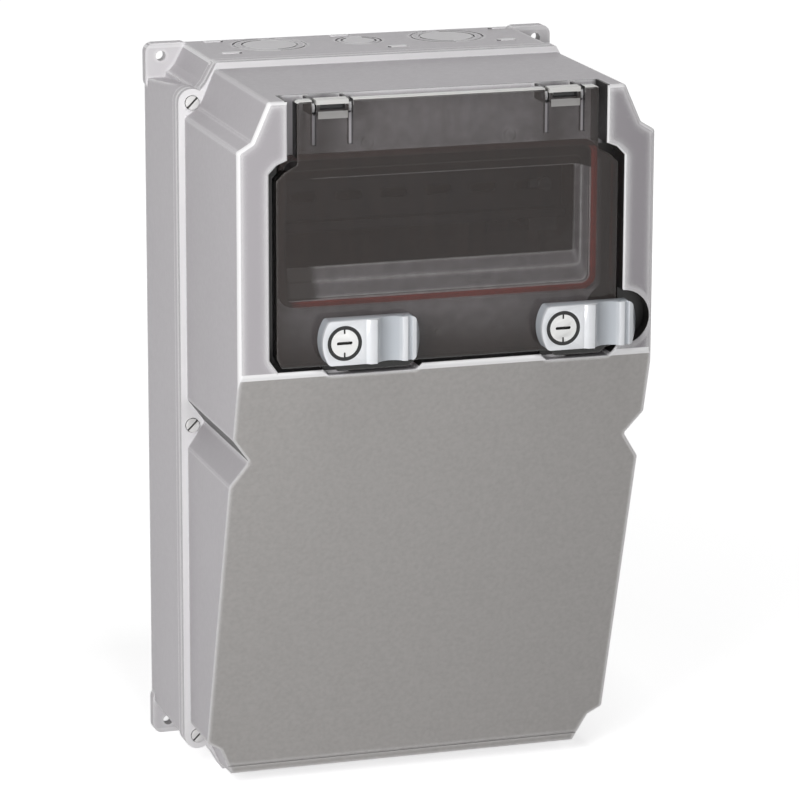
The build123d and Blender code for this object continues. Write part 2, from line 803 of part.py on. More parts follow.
for side, place in latch_places.items():
    with BuildPart() as latch_handle:
        with BuildSketch(front_plane(handle_back, x=place, z=latch_height)):
            add(handle_outline.sketch)
        extrude(amount=handle_ridge - handle_lift)
        with BuildSketch(level_plane(latch_height, x=place, depth=cover_front)):
            with BuildLine():
                Polyline(
                    (-2 * handle_heel, 0),
                    (-2 * handle_heel, handle_face),
                    (ridge_start, handle_face),
                    (ridge_flat[0], handle_ridge),
                    (ridge_flat[1], handle_ridge),
                )
                ThreePointArc((ridge_flat[1], handle_ridge), handle_dish, handle_lip)
                Polyline(
                    handle_lip,
                    *handle_bar,
                    *handle_groove,
                    *handle_end,
                    (handle_reach, handle_tip),
                    (handle_reach, 0),
                    (-2 * handle_heel, 0),
                )
            make_face()
        extrude(amount=handle_half, both=True, mode=Mode.INTERSECT)
        with BuildSketch(front_plane(head_back, x=place, z=latch_height)):
            Circle(spindle_head_radius + fit_play)
        extrude(amount=handle_ridge, mode=Mode.SUBTRACT)
        with BuildSketch(front_plane(head_front - latch_seal_depth, x=place, z=latch_height)):
            Circle(latch_seal_radius)
        extrude(amount=handle_ridge, mode=Mode.SUBTRACT)
        with BuildSketch(front_plane(cover_front, x=place, z=latch_height)):
            Circle(shaft_radius + fit_play)
        extrude(amount=handle_face, mode=Mode.SUBTRACT)
    finish(latch_handle, f"latch_handle_{side}")

    with BuildPart() as latch_spindle:
        with BuildSketch(front_plane(head_back, x=place, z=latch_height)):
            Circle(spindle_head_radius)
        extrude(amount=spindle_head_depth)
        with BuildSketch(front_plane(cam_place + cam_thick, x=place, z=latch_height)):
            Circle(shaft_radius)
        extrude(amount=head_back - cam_place - cam_thick)
        with BuildSketch(front_plane(cam_place, x=place, z=latch_height)):
            Rectangle(square_size, square_size)
        extrude(amount=cam_thick)
        with BuildSketch(front_plane(head_front - latch_slot_sink, x=place, z=latch_height)):
            SlotOverall(*latch_slot)
        extrude(amount=latch_slot_sink, mode=Mode.SUBTRACT)
        with BuildSketch(front_plane(head_front - latch_tick_sink, x=place, z=latch_height)):
            with GridLocations(0, 2 * spindle_head_radius - latch_tick[1], 1, 2):
                Rectangle(*latch_tick)
        extrude(amount=latch_tick_sink, mode=Mode.SUBTRACT)
    finish(latch_spindle, f"latch_spindle_{side}")

    with BuildPart() as latch_seal:
        with BuildSketch(front_plane(head_front - latch_seal_depth, x=place, z=latch_height)):
            Circle(latch_seal_radius)
            Circle(spindle_head_radius, mode=Mode.SUBTRACT)
        extrude(amount=latch_seal_depth)
    finish(latch_seal, f"latch_seal_{side}")

    # The cam behind the window points down when the handle lies to the right
    with BuildPart() as latch_cam:
        with BuildSketch(front_plane(cam_place, x=place, z=latch_height)):
            Circle(cam_boss_radius)
            with Locations((0, -cam_reach / 2)):
                Rectangle(2 * cam_half, cam_reach)
            Rectangle(square_size, square_size, mode=Mode.SUBTRACT)
        extrude(amount=cam_thick)
    finish(latch_cam, f"latch_cam_{side}")

# Six cover screws in one group, and the brass inserts that take them
with BuildPart() as cover_screws:
    with BuildSketch(front_plane(base_depth - insert_length)):
        with Locations(*screw_places):
            Circle(screw_radius)
    extrude(amount=screw_seat - base_depth + insert_length)
    with BuildSketch(front_plane(screw_seat)):
        with Locations(*screw_places):
            Circle(screw_head_radius)
    extrude(amount=screw_head_height)
    with BuildSketch(front_plane(screw_seat + screw_head_height - screw_slot[1])):
        with Locations(*screw_places):
            Rectangle(2 * screw_head_radius, screw_slot[0], rotation=screw_slot_turn)
    extrude(amount=screw_slot[1], mode=Mode.SUBTRACT)
finish(cover_screws, "cover_screws")

with BuildPart() as screw_inserts:
    with BuildSketch(front_plane(base_depth - insert_length)):
        with Locations(*screw_places):
            Circle(insert_radius)
            Circle(screw_radius, mode=Mode.SUBTRACT)
    extrude(amount=insert_length)
finish(screw_inserts, "screw_inserts")

# Perforated top-hat rail
with BuildPart() as din_rail:
    with BuildSketch(side_plane()):
        with Locations(((rail_back + rail_front) / 2, aperture_middle)):
            Rectangle(rail_depth, rail_channel)
        with Locations((rail_front - rail_sheet / 2, aperture_middle)):
            Rectangle(rail_sheet, rail_height)
        with Locations(((rail_back + rail_front) / 2 + rail_sheet, aperture_middle)):
            Rectangle(rail_depth, rail_channel - 2 * rail_sheet, mode=Mode.SUBTRACT)
    extrude(amount=half_width - rail_end_gap, both=True)
    with BuildSketch(front_plane(rail_back, z=aperture_middle)):
        with GridLocations(rail_slot_pitch, 0, rail_slot_count, 1):
            SlotOverall(*rail_slot)
        with GridLocations(2 * bracket_place, 0, 2, 1):
            Circle(small_screw_radius)
    extrude(amount=rail_sheet, mode=Mode.SUBTRACT)
finish(din_rail, "din_rail")

# Bent steel brackets: feet on the posts, webs forward, and a face that takes the rail
bracket_web = rail_back - post_front
for side, turn in (("left", -1), ("right", 1)):
    with BuildPart() as rail_bracket:
        with BuildSketch(side_plane(turn * bracket_place)):
            with Locations(((post_front + rail_back) / 2, aperture_middle)):
                Rectangle(bracket_web, 2 * bracket_half)
            with Locations((post_front + bracket_sheet / 2, aperture_middle)):
                Rectangle(bracket_sheet, 2 * (bracket_half + bracket_foot))
            with Locations(((post_front + rail_back) / 2 - bracket_sheet, aperture_middle)):
                Rectangle(bracket_web, 2 * (bracket_half - bracket_sheet), mode=Mode.SUBTRACT)
        extrude(amount=bracket_width / 2, both=True)
        with BuildSketch(front_plane(post_front, x=turn * bracket_place, z=aperture_middle)):
            with GridLocations(0, 2 * bracket_screw_z, 1, 2):
                Circle(small_screw_radius)
            Circle(small_screw_radius)
        extrude(amount=bracket_web, mode=Mode.SUBTRACT)
    finish(rail_bracket, f"rail_bracket_{side}")

# Plastic feet that carry the terminal bars
for side, turn in (("left", -1), ("right", 1)):
    with BuildPart() as terminal_foot:
        with BuildSketch(side_plane(turn * foot_place)):
            with Locations((post_front + foot_flange / 2, bars_middle)):
                Rectangle(foot_flange, foot_screw_spread + 2 * post_radius)
            with Locations(((post_front + bar_back + foot_lip) / 2, bars_middle)):
                Rectangle(bar_back + foot_lip - post_front, bar_spacing + bar_high + 2 * foot_lip_wall)
            with Locations((bar_back + bar_deep / 2, bars_middle)):
                with GridLocations(0, bar_spacing, 1, 2):
                    Rectangle(bar_deep, bar_high, mode=Mode.SUBTRACT)
        extrude(amount=foot_width / 2, both=True)
        with BuildSketch(front_plane(post_front, x=turn * foot_place, z=bars_middle)):
            with GridLocations(0, foot_screw_spread, 1, 2):
                Circle(small_screw_radius)
        extrude(amount=foot_flange, mode=Mode.SUBTRACT)
    finish(terminal_foot, f"terminal_foot_{side}")

# Terminal bars with their wire holes and clamp screws
for name, place in bar_places.items():
    with BuildPart() as terminal_bar:
        with BuildSketch(front_plane(bar_back, z=place)):
            Rectangle(bar_length, bar_high)
        extrude(amount=bar_deep)
        with BuildSketch(level_plane(place)):
            with Locations((0, bar_back + bar_deep / 2)):
                with GridLocations(terminal_pitch, 0, terminal_count, 1):
                    Circle(wire_hole_radius)
        extrude(amount=bar_high, both=True, mode=Mode.SUBTRACT)
        with BuildSketch(front_plane(bar_front - terminal_screw_length, z=place)):
            with GridLocations(terminal_pitch, 0, terminal_count, 1):
                Circle(terminal_screw_radius)
        extrude(amount=terminal_screw_length, mode=Mode.SUBTRACT)
    finish(terminal_bar, f"{name}_bar")

    with BuildPart() as terminal_screws:
        with BuildSketch(front_plane(bar_front - terminal_screw_length, z=place)):
            with GridLocations(terminal_pitch, 0, terminal_count, 1):
                Circle(terminal_screw_radius)
        extrude(amount=terminal_screw_length)
        with BuildSketch(front_plane(bar_front, z=place)):
            with GridLocations(terminal_pitch, 0, terminal_count, 1):
                Circle(terminal_head_radius)
        extrude(amount=terminal_head_height)
        with BuildSketch(front_plane(bar_front + terminal_head_height - small_screw_slot[1], z=place)):
            with GridLocations(terminal_pitch, 0, terminal_count, 1):
                Rectangle(small_screw_slot[0], 2 * terminal_head_radius)
        extrude(amount=small_screw_slot[1], mode=Mode.SUBTRACT)
    finish(terminal_screws, f"{name}_screws")

# Machine screws: through the bracket and foot flanges into the posts, and through the rail
rail_screw_places = [(-bracket_place, aperture_middle), (bracket_place, aperture_middle)]
screw_rows = {
    "post_screws": [(post_front + bracket_sheet, bracket_posts), (post_front + foot_flange, foot_posts)],
    "rail_screws": [(rail_back + rail_sheet, rail_screw_places)],
}
for label, rows in screw_rows.items():
    with BuildPart() as small_screws:
        for seat, places in rows:
            with BuildSketch(front_plane(seat - small_screw_length)):
                with Locations(*places):
                    Circle(small_screw_radius)
            extrude(amount=small_screw_length)
            with BuildSketch(front_plane(seat)):
                with Locations(*places):
                    Circle(small_head_radius)
            extrude(amount=small_head_height)
            with BuildSketch(front_plane(seat + small_head_height - small_screw_slot[1])):
                with Locations(*places):
                    Rectangle(2 * small_head_radius, small_screw_slot[0])
            extrude(amount=small_screw_slot[1], mode=Mode.SUBTRACT)
    finish(small_screws, label)
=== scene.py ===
# %% [markdown]
# # A wall-mounted consumer unit
#
# The object is a box for a small row of switches and sockets, as it hangs on an outside wall or in
# a workshop. It is moulded in a light grey plastic: a back box, and a deep hood with a sloping
# blank panel. A smoked window is hinged over the modules, and two pale turn latches hold it shut.
#
# The solids come from the CAD model. They are loaded as a fixed frame, and what Blender adds is the
# finish of each surface, the small parts that need softer shapes than a CAD solid has, the light
# and the camera. We keep the size of the CAD box from straight after loading, and its lowest point
# sets the floor.

# %% Load the frame
from math import cos, radians, sin

import bpy
from mathutils import Matrix, Vector


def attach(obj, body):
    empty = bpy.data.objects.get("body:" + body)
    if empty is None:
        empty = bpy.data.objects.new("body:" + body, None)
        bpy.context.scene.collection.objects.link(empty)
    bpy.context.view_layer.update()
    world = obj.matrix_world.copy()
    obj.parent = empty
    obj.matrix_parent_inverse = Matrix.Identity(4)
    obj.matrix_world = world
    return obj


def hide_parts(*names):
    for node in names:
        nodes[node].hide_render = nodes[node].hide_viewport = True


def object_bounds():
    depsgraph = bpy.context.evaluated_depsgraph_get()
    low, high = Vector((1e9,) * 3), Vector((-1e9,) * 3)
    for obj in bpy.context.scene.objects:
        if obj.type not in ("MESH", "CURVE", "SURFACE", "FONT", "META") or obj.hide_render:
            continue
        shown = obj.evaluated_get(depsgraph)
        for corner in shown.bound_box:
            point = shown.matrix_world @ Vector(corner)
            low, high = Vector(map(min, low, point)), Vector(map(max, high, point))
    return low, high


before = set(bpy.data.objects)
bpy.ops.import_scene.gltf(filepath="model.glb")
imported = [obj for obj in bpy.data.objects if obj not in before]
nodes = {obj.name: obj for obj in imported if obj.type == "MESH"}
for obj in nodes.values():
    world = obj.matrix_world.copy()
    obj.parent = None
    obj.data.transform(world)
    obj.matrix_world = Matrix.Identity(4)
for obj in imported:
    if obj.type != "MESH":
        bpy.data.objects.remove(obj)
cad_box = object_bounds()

print("nodes", len(nodes), "box", [tuple(round(x, 4) for x in corner) for corner in cad_box])

# %% [markdown]
# ## The camera
#
# The photograph was taken from a long way off: the edges that run away from us hardly converge.
# A long lens at 2.3 m gives that. The view is 17.5 degrees to the left of the front and 14.2
# degrees above it, and the camera is rolled by a sixth of a degree. We build its three axes from
# those angles rather than aim it at a target, because a target can't give the roll.

# %% Place the camera
VIEW_LEFT, VIEW_UP, VIEW_ROLL = radians(17.5), radians(14.16), radians(0.16)
DISTANCE = 2.2995
LENS, SENSOR = 190.21, 36.0
AIM = Vector((0.0, -0.060, 0.0))
AIM_RIGHT, AIM_UP = 0.01154, 0.00184

back = Vector((-sin(VIEW_LEFT) * cos(VIEW_UP), -cos(VIEW_LEFT) * cos(VIEW_UP), sin(VIEW_UP)))
right = (-back).cross(Vector((0, 0, 1))).normalized()
up = right.cross(-back)
centre = AIM + right * AIM_RIGHT + up * AIM_UP + back * DISTANCE
rolled_right = right * cos(VIEW_ROLL) + up * sin(VIEW_ROLL)
rolled_up = up * cos(VIEW_ROLL) - right * sin(VIEW_ROLL)

camera_data = bpy.data.cameras.new("camera")
camera_data.lens = LENS
camera_data.sensor_width = SENSOR
camera_data.clip_start, camera_data.clip_end = 0.1, 60.0
camera = bpy.data.objects.new("camera", camera_data)
bpy.context.scene.collection.objects.link(camera)
axes = Matrix((rolled_right, rolled_up, back)).transposed().to_4x4()
camera.matrix_world = Matrix.Translation(centre) @ axes
bpy.context.scene.camera = camera
bpy.context.scene.view_settings.view_transform = "Standard"
print("camera at", tuple(round(x, 3) for x in centre))

# %% [markdown]
# ## Helpers for materials
#
# Colours are written as sRGB hex values, as a picture shows them. Blender's shaders want linear
# light, so one function turns a hex value into that. Another adds a node: what is given by keyword
# are the node's own settings, and the dictionary holds its sockets, each a value or a link. It
# gives back the output that the next node needs.
#
# A moulding isn't the same all over. Its painted highlights and its painted shade lie at known heights,
# so a third function marks such a zone: it gives 1 where every value lies within its limits.

# %% Colour and node helpers
def linear(code):
    """The linear colour of an sRGB hex value such as 'a5a0a5'."""
    parts = [int(code[i:i + 2], 16) / 255 for i in (0, 2, 4)]
    return tuple(p / 12.92 if p <= 0.04045 else ((p + 0.055) / 1.055) ** 2.4 for p in parts) + (1.0,)


def add_node(tree, kind, sockets=None, output=0, **settings):
    """Adds one node with its settings, socket values and links, and gives back one output."""
    node = tree.nodes.new("ShaderNode" + kind)
    for name, value in settings.items():
        setattr(node, name, value)
    for key, value in (sockets or {}).items():
        if isinstance(value, bpy.types.NodeSocket):
            tree.links.new(value, node.inputs[key])
        else:
            node.inputs[key].default_value = value
    return node if output is None else node.outputs[output]


def zone(tree, *limits):
    """1 where every value lies within its limits, given as (value, low, high), and 0 elsewhere."""
    inside = 1.0
    for value, low, high in limits:
        within = add_node(
            tree, "Math", {0: value, 1: (low + high) / 2, 2: (high - low) / 2}, operation="COMPARE"
        )
        inside = add_node(tree, "Math", {0: within, 1: inside}, operation="MULTIPLY")
    return inside


# The Mix node keeps the sockets of all its types, and these are the ones for colours
MIX_A, MIX_B, MIX_COLOUR = 6, 7, 2


def new_material(name):
    """A material with a bare Principled surface, and the Object coordinates to draw on it with."""
    material = bpy.data.materials.new(name)
    material.use_nodes = True
    tree = material.node_tree
    tree.nodes.clear()
    surface = add_node(tree, "BsdfPrincipled", output=None)
    add_node(tree, "OutputMaterial", {"Surface": surface.outputs["BSDF"]}, output=None)
    return material, tree, surface, add_node(tree, "TexCoord", output="Object")


def levels(tree, place):
    """X, depth out from the wall, Z, how far a face looks forwards and upwards, and its normal."""
    x, y, z = add_node(tree, "SeparateXYZ", {0: place}, output=None).outputs
    true = add_node(tree, "NewGeometry", output="Normal")
    _, back, upward = add_node(tree, "SeparateXYZ", {0: true}, output=None).outputs
    depth = add_node(tree, "Math", {0: y, 1: -1.0}, operation="MULTIPLY")
    forward = add_node(tree, "Math", {0: back, 1: -1.0}, operation="MULTIPLY")
    return x, depth, z, forward, upward, true


def dress(material, *names):
    """Gives CAD nodes a material in their own slots."""
    for name in names:
        for material_slot in nodes[name].material_slots:
            material_slot.material = material
    print(material.name, "on", ", ".join(names))


# %% [markdown]
# ## The grey shell
#
# The back box and the hood are injection moulded in a light grey thermoplastic, ABS or
# polycarbonate. The mould was spark eroded, which leaves a fine even grain with a half-matt sheen.
# The plastic has a refractive index of about 1.5 and a roughness near 0.4. Its grain is about
# 0.15 mm across; that is too fine to show here, so it is drawn at 0.6 mm. The colour drifts a
# little over a hand's breadth, as it does where the melt flowed at different speeds. The sloping
# panel has a coarser texture, so it looks warmer and duller, with a faint mottle.
#
# Edges get a painted highlight, a paler colour where the Bevel node finds them, because its rounded
# normal differs from the true one there. The rim, the lugs, the crease above the panel, the raised
# marks and the knockouts on top get the same painted highlight. The gaps round the window and the
# thumb scoop are deep and narrow, and are painted nearly black as painted shade, which thins out
# over the floor of the recess. The well that leads down to the modules gets painted shade, nearly
# black along its top and left, where the hood shades it. The inside of the box gets painted shade too.
#
# Each of these zones is marked by where it lies and by how its faces are turned. A length is in
# metres. How far a face looks forwards or upwards runs from -1 to 1, so FORWARD picks the faces
# that are square to the front, LEANING the sloping ones, and SIDEWAYS the walls of a recess.

# %% Where the shell's zones lie
FORWARD, LEANING, SIDEWAYS = (0.9, 1.01), (0.90, 0.975), (-0.2, 0.8)
CREASE_Z, CREASE_DEPTH = 0.050, 0.181
CREASE_HEIGHTS, CREASE_DEPTHS = (CREASE_Z - 0.0017, CREASE_Z + 0.0017), (0.178, 0.182)
PANEL_FOOT_Z, PANEL_FOOT_DEPTH = -0.187, 0.1065
PANEL_SLOPE = (CREASE_DEPTH - PANEL_FOOT_DEPTH) / (CREASE_Z - PANEL_FOOT_Z)
PANEL_NEAR = (-0.0012, 0.0012)

RIM_DEPTHS, LUG_DEPTHS = (0.0700, 0.0785), (0.0062, 0.0078)
LIP_DEPTHS, LIP_TURN = (0.1797, 0.1820), (0.975, 1.01)
ROUNDED_DEPTHS, ROUNDED_TURN = (0.1784, 0.1812), (0.1, 0.94)
LIP_FADE = (0.030, 0.100)

MARK_HEIGHTS, MARK_DEPTHS = (0.1939, 0.1943), (0.0, 0.070)
RING_HEIGHTS, RING_DEPTHS = (0.1919, 0.1933), (0.0, 0.068)
KNOCKOUTS, KNOCKOUT_DEPTH, KNOCKOUT_HEIGHTS = ((0.050, 0.0155), (0.0, 0.0098)), 0.022, (0.1930, 0.1938)

RECESS_DEPTHS, RECESS_HALF, NECK_HALF = (0.1620, 0.1798), 0.0965, 0.0868
LOWER_RECESS, UPPER_RECESS = (CREASE_Z, 0.1615), (0.150, 0.1915)
SCOOP, SCOOP_REACH, SCOOP_DEPTHS = (0.0955, 0.0, 0.0685), 0.0149, (0.1620, 0.1804)
HINGE_PLACE, HINGE_HEIGHTS = 0.0620, (0.1570, 0.1915)
WELL_HALF, WELL_HEIGHTS, WELL_DEPTHS, WELL_ROOF = 0.0840, (0.0845, 0.1575), (0.1485, 0.1632), 0.1455
NOTCH_TURN, NOTCH_ASIDE = (-0.95, -0.35), (0.0850, 0.1155)
NOTCH_HEIGHTS, NOTCH_DEPTHS = (-0.001, 0.0175), (0.077, 0.182)
INNER_TURN, INNER_DEPTHS, BACK_WALL_DEPTHS = (-1.0, -0.002), (0.001, 0.148), (0.0025, 0.0035)
print("the panel comes forward", round(PANEL_SLOPE, 3), "mm for each mm up")

# %% [markdown]
# ### The masks of the zones
#
# A mask says how much a point belongs to a zone, from 0 to 1. The zones could be painted into an
# image, but masks worked out from a point's place stay sharp at any size and need no unwrapping.
# Painted shade thins out over some millimetres, so a Map Range that falls from 1 to 0 is multiplied in,
# and the greater of two masks joins them.

# %% Masks of the shell's zones
def shell_zones(tree, place):
    """Masks of the panel, the painted shade and painted highlights, the inside, the deep painted shade and
    lip, and the normal.
    """
    x, depth, z, forward, upward, true = levels(tree, place)
    drop = add_node(tree, "Math", {0: CREASE_Z, 1: z}, operation="SUBTRACT")
    slope_depth = add_node(
        tree, "Math", {0: drop, 1: -PANEL_SLOPE, 2: CREASE_DEPTH}, operation="MULTIPLY_ADD"
    )
    off_panel = add_node(tree, "Math", {0: slope_depth, 1: depth}, operation="SUBTRACT")
    panel = zone(tree, (off_panel, *PANEL_NEAR), (forward, *LEANING))

    crease = zone(tree, (z, *CREASE_HEIGHTS), (depth, *CREASE_DEPTHS), (forward, *FORWARD))
    rim = zone(tree, (depth, *RIM_DEPTHS), (forward, *FORWARD))
    lugs = zone(tree, (depth, *LUG_DEPTHS), (forward, *FORWARD))
    rounded_lip = zone(tree, (depth, *ROUNDED_DEPTHS), (forward, *ROUNDED_TURN))
    # The top and the bottom carry raised marks, and knockouts between two rings
    mirrored = add_node(tree, "VectorMath", {0: place}, operation="ABSOLUTE")
    aside, _, high = add_node(tree, "SeparateXYZ", {0: mirrored}, output=None).outputs
    level = add_node(tree, "VectorMath", {0: mirrored, 1: (1.0, 1.0, 0.0)}, operation="MULTIPLY")
    marks = zone(tree, (high, *MARK_HEIGHTS), (depth, *MARK_DEPTHS))
    rings = zone(tree, (high, *RING_HEIGHTS), (depth, *RING_DEPTHS))
    shares = [(rim, 0.9), (lugs, 0.55), (rounded_lip, 0.9), (marks, 0.9), (rings, 0.8)]
    for centre_x, radius in KNOCKOUTS:
        middle = (centre_x, KNOCKOUT_DEPTH, 0.0)
        away = add_node(tree, "VectorMath", {0: level, 1: middle}, output="Value", operation="DISTANCE")
        shares.append((zone(tree, (away, -1.0, radius), (high, *KNOCKOUT_HEIGHTS)), 0.45))
    # The crease, the rim, the lugs, the rounded lip, the marks, the rings and the knockouts get a painted
    # highlight
    painted_highlight = crease
    for part, share in shares:
        lit = add_node(tree, "Math", {0: part, 1: share}, operation="MULTIPLY")
        painted_highlight = add_node(tree, "Math", {0: painted_highlight, 1: lit}, operation="MAXIMUM")

    flat = add_node(tree, "VectorMath", {0: place, 1: (1.0, 0.0, 1.0)}, operation="MULTIPLY")
    from_scoop = add_node(tree, "VectorMath", {0: flat, 1: SCOOP}, output="Value", operation="DISTANCE")
    deep, below, above = (depth, *RECESS_DEPTHS), (z, *LOWER_RECESS), (z, *UPPER_RECESS)
    deep_shade = zone(tree, (from_scoop, -1.0, SCOOP_REACH), (depth, *SCOOP_DEPTHS))
    hinge_off = add_node(tree, "Math", {0: aside, 1: HINGE_PLACE}, operation="SUBTRACT")
    hinge_away = add_node(tree, "Math", {0: hinge_off}, operation="ABSOLUTE")
    # On the floor of the recess the painted shade thins out away from the walls and the hinges, and the
    # well gets painted shade at its left. Each row has the part, what is measured, and where it is full and
    # gone.
    well = zone(tree, (aside, -1.0, WELL_HALF), (z, *WELL_HEIGHTS), (depth, *WELL_DEPTHS))
    fades = (
        (zone(tree, deep, (z, *HINGE_HEIGHTS), (aside, 0.0, NECK_HALF)), hinge_away, -0.0100, 0.0120),
        (zone(tree, deep, below, (aside, 0.0, RECESS_HALF)), aside, 0.0895, 0.0850),
        (zone(tree, deep, above, (aside, 0.0, NECK_HALF)), aside, 0.0855, 0.0830),
        (zone(tree, deep, above, (aside, 0.0, RECESS_HALF)), z, 0.1575, 0.1590),
        (well, x, -0.0665, -0.0620),
        (zone(tree, deep, below, (aside, 0.0, RECESS_HALF)), z, 0.0520, 0.0780),
    )
    for part, value, full, none in fades:
        fade = add_node(tree, "MapRange", {"Value": value, 1: none, 2: full})
        faded = add_node(tree, "Math", {0: part, 1: fade}, operation="MULTIPLY")
        deep_shade = add_node(tree, "Math", {0: deep_shade, 1: faded}, operation="MAXIMUM")
    # The walls of the recess and the roofs of the V notches and the well are painted dark all over, as
    # painted shade
    for part in (
        zone(tree, (aside, -1.0, RECESS_HALF), deep, below, (forward, *SIDEWAYS)),
        zone(tree, (aside, -1.0, NECK_HALF), deep, above, (forward, *SIDEWAYS)),
        zone(tree, (upward, *NOTCH_TURN), (aside, *NOTCH_ASIDE), (z, *NOTCH_HEIGHTS), (depth, *NOTCH_DEPTHS)),
        zone(tree, (well, 0.5, 1.5), (z, WELL_ROOF, 1.0)),
    ):
        deep_shade = add_node(tree, "Math", {0: deep_shade, 1: part}, operation="MAXIMUM")
    # The lip gets painted shade towards the right, the side away from the light, and the well gets it all
    # over
    lip = zone(tree, (depth, *LIP_DEPTHS), (forward, *LIP_TURN))
    rightward = add_node(tree, "MapRange", {"Value": x, 1: LIP_FADE[0], 2: LIP_FADE[1]})
    soft_shade = add_node(tree, "Math", {0: lip, 1: rightward}, operation="MULTIPLY")
    soft_shade = add_node(tree, "Math", {0: soft_shade, 1: well}, operation="MAXIMUM")

    # An inner wall faces the middle of the box, and the back wall lies just in front of the wall
    outward = add_node(tree, "VectorMath", {0: flat, 1: true}, output="Value", operation="DOT_PRODUCT")
    inner = zone(tree, (outward, *INNER_TURN), (depth, *INNER_DEPTHS))
    back_wall = zone(tree, (depth, *BACK_WALL_DEPTHS), (forward, *FORWARD))
    # The inner walls and the back wall get painted shade
    inside = add_node(tree, "Math", {0: inner, 1: back_wall}, operation="MAXIMUM")
    return panel, soft_shade, painted_highlight, inside, deep_shade, lip, true


# %% [markdown]
# ### The plastic in its zones
#
# One Principled surface makes the plastic. Its colour is laid on in layers, each through the mask
# of its zone, its roughness wanders with the mottle, and a low bump gives the grain. The back box
# and the hood each get a material of their own, and the back box is a shade lighter.

# %% Grey shell material
SHELL_IOR = 1.52
GRAIN_MM, MOTTLE_MM, CLOUD_MM = 0.6, 2.5, 70.0
GRAIN_RISE_MM = 0.12
EDGE_MM, LIP_EDGE_MM = 3.2, 6.0
EDGE_STARTS, EDGE_FULL, EDGE_SHARE = 0.993, 0.95, 0.85
SHELL_ROUGH, PANEL_ROUGHER = (0.36, 0.46), 0.16


def moulded_shell(name, body, panel_colours, matt, pale, unlit, dust_and_shade):
    """Grey plastic with a fine grain, painted highlights at its edges, and a colour of its own in each zone,
    some of them painted shade.
    """
    material, tree, surface, place = new_material(name)
    panel, soft_shade, painted_highlight, inside, deep_shade, lip, true = shell_zones(tree, place)
    grain, mottle, cloud = (
        add_node(tree, "TexNoise", {"Vector": place, "Scale": 1000 / size, "Detail": detail})
        for size, detail in ((GRAIN_MM, 2.0), (MOTTLE_MM, 4.0), (CLOUD_MM, 2.0))
    )
    reach = add_node(tree, "MapRange", {"Value": lip, 3: EDGE_MM / 1000, 4: LIP_EDGE_MM / 1000})
    # Edges get a painted highlight where the Bevel node's rounded normal turns away from the true one
    rounded = add_node(tree, "Bevel", {"Radius": reach}, samples=4)
    alike = add_node(tree, "VectorMath", {0: rounded, 1: true}, output="Value", operation="DOT_PRODUCT")
    edge = add_node(tree, "MapRange", {"Value": alike, 1: EDGE_STARTS, 2: EDGE_FULL, 3: 0.0, 4: EDGE_SHARE})
    light_parts = add_node(tree, "Math", {0: edge, 1: painted_highlight}, operation="MAXIMUM")
    speckle = add_node(tree, "MapRange", {"Value": mottle, 1: 0.3, 2: 0.7})

    colour = add_node(
        tree, "Mix", {0: cloud, MIX_A: linear(body[0]), MIX_B: linear(body[1])}, MIX_COLOUR, data_type="RGBA"
    )
    textured = add_node(
        tree, "Mix", {0: speckle, MIX_A: linear(panel_colours[0]), MIX_B: linear(panel_colours[1])},
        MIX_COLOUR, data_type="RGBA",
    )
    # Over the panel's texture go painted shade on the lip and well, painted highlights, painted shade inside,
    # and deep painted shade in the gaps
    layers = (
        (panel, textured), (soft_shade, linear(matt)), (light_parts, linear(pale)),
        (inside, linear(unlit)), (deep_shade, linear(dust_and_shade)),
    )
    for mask, layer in layers:
        colour = add_node(tree, "Mix", {0: mask, MIX_A: colour, MIX_B: layer}, MIX_COLOUR, data_type="RGBA")
    tree.links.new(colour, surface.inputs["Base Color"])

    sheen = add_node(
        tree, "MapRange", {"Value": mottle, 1: 0.3, 2: 0.7, 3: SHELL_ROUGH[0], 4: SHELL_ROUGH[1]}
    )
    rough = add_node(tree, "Math", {0: panel, 1: PANEL_ROUGHER, 2: sheen}, operation="MULTIPLY_ADD")
    tree.links.new(rough, surface.inputs["Roughness"])
    bump = add_node(tree, "Bump", {"Height": grain, "Strength": 0.3, "Distance": GRAIN_RISE_MM / 1000})
    tree.links.new(bump, surface.inputs["Normal"])
    surface.inputs["IOR"].default_value = SHELL_IOR
    return material


# Of these colours, the palest is a painted highlight, and the other three single colours are painted shade.
ZONE_COLOURS = {
    "panel_colours": ("aba8a6", "a3a09e"),
    "matt": "949094",
    "pale": "f3f2f3",
    "unlit": "716e70",
    "dust_and_shade": "1d1b1a",
}
back_shell = moulded_shell("moulded_grey_plastic_back", ("bdb9bd", "b6b2b6"), **ZONE_COLOURS)
hood_shell = moulded_shell("moulded_grey_plastic_hood", ("b2aeb2", "aba7ab"), **ZONE_COLOURS)
dress(back_shell, "base_box")
dress(hood_shell, "front_cover")

# %% [markdown]
# ## The smoked window
#
# The window is pressed from acrylic with a brown-grey smoke tint, 3 mm thick: clear and polished,
# with an index of 1.49. It has to show the recess, the seal and the dark inside of the box, lit by
# the light that gets through it. A surface that is partly transparent does that at every angle
# and lets the lamps shine in, where true refraction would block them. The whole tint is put on the
# front face, so that the inner faces of the pressing don't darken it again.
#
# Seen from its edge the same plastic is nearly black, because the light has a long way through it.
# Its top edge, its front edge and the two ribs over the hinges get a painted highlight, and the slit
# in each hinge and the foot get the same near black as painted shade. A film of dust makes it a little
# more opaque in patches.

# %% Smoked window material
SMOKE_IOR = 1.49
SMOKE_COVER, INNER_COVER, EDGE_COVER = (0.72, 0.79), 0.04, 0.92
SMOKE_ROUGH = (0.05, 0.14)
WAVE_MM, STREAK_MM, DUST_MM = 22.0, 3.0, 6.0
WAVE_RISE_MM, WINDOW_EDGE_MM = 0.4, 1.0
LIT_STARTS, LIT_FULL, LIT_SHARE, RIB_SHARE = 0.985, 0.86, 0.55, 0.5

